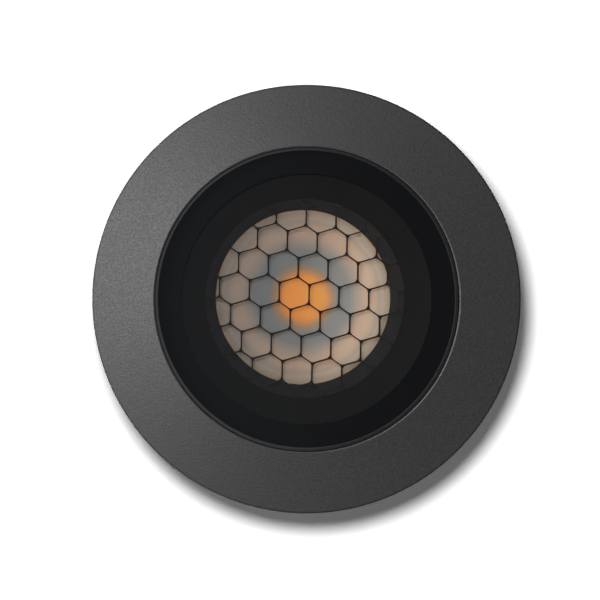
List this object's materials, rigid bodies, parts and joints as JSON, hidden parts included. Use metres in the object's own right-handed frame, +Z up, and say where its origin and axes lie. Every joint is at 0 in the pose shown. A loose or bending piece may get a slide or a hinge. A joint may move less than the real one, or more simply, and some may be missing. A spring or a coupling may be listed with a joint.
{
  "type": "in-ground spotlight",
  "caption": "Round in-ground spotlight: conical trim ring and glass over a honeycomb lamp head that swivels and tilts in a sealed pot, which lifts out of a ground sleeve.",
  "frame": {"origin": "axis of the sleeve at the surface of the paving, on the underside of the sleeve's flange", "axes": "+Z up along the sleeve, towards the light's glass; +X along the tilt pins"},
  "size_m": [0.06, 0.06, 0.0867],
  "materials": {
    "trim_coating": "fine textured powder coat",
    "pot_coating": "satin powder coat",
    "clear_glass": "toughened, ground edge",
    "black_rubber": "matte",
    "bezel_plastic": "fine matte grain",
    "hood_plastic": "satin",
    "louvre_coating": "matte black",
    "lens_plastic": "clear, polished",
    "amber_phosphor": "cast silicone",
    "white_ceramic": "matte",
    "white_plastic": "matte",
    "lamp_aluminium": "cast and machined",
    "pad_silicone": "soft sheet",
    "bright_steel": "bright zinc",
    "board_laminate": "solder mask",
    "dark_components": "moulded",
    "capacitor_can": "drawn can",
    "terminal_plastic": "moulded",
    "gland_plastic": "moulded",
    "sleeve_plastic": "moulded, slightly rough"
  },
  "bodies": {
    "sleeve": {"ground_sleeve": "sleeve_plastic", "drain_grid": "sleeve_plastic"},
    "insert": {"housing": "pot_coating", "bumper_ring": "black_rubber", "retaining_springs": "bright_steel", "spring_screws": "bright_steel", "swivel_glide": "white_plastic", "swivel_retainer": "bright_steel", "driver_board": "board_laminate", "driver_inductor": "dark_components", "driver_capacitor": "capacitor_can", "driver_chips": "dark_components", "terminal_block": "terminal_plastic", "board_screws": "bright_steel", "gland_body": "gland_plastic", "gland_seal": "black_rubber", "gland_washer": "black_rubber", "gland_locknut": "gland_plastic", "gland_dome_nut": "gland_plastic"},
    "seal": {"front_seal": "black_rubber"},
    "cover": {"trim_ring": "trim_coating", "glass": "clear_glass", "glass_gasket": "black_rubber"},
    "swivel": {"swivel_ring": "bezel_plastic"},
    "lamp": {"lamp_can": "lamp_aluminium", "pivot_pins": "bright_steel", "pivot_washers": "white_plastic", "thermal_pad": "pad_silicone", "led_carrier": "white_ceramic", "led_disc": "amber_phosphor", "led_clamp": "white_plastic", "clamp_screws": "bright_steel", "lens": "lens_plastic", "lens_holder": "bezel_plastic", "lens_hood": "hood_plastic", "louvre": "louvre_coating", "front_bezel": "bezel_plastic"}
  },
  "joints": [
    {"name": "insert_lift", "type": "slide", "parent": "sleeve", "child": "insert", "axis": [0, 0, 1], "range_m": [0, 0.08]},
    {"name": "cover_lift", "type": "slide", "parent": "insert", "child": "seal", "axis": [0, 0, 1], "range_m": [0, 0.00601]},
    {"name": "cover_turn", "type": "hinge", "parent": "seal", "child": "cover", "pos_m": [0, 0, 0], "axis": [0, 0, 1], "range_deg": [0, 1440]},
    {"name": "lamp_swivel", "type": "hinge", "parent": "insert", "child": "swivel", "pos_m": [0, 0, -0.01196], "axis": [0, 0, 1], "range_deg": [-175, 175]},
    {"name": "lamp_tilt", "type": "hinge", "parent": "swivel", "child": "lamp", "pos_m": [0, 0, -0.01196], "axis": [1, 0, 0], "range_deg": [-12, 12]}
  ],
  "couplings": [
    {"joint": "cover_lift", "follows": "cover_turn", "m_per_rad": 0.00023873}
  ]
}
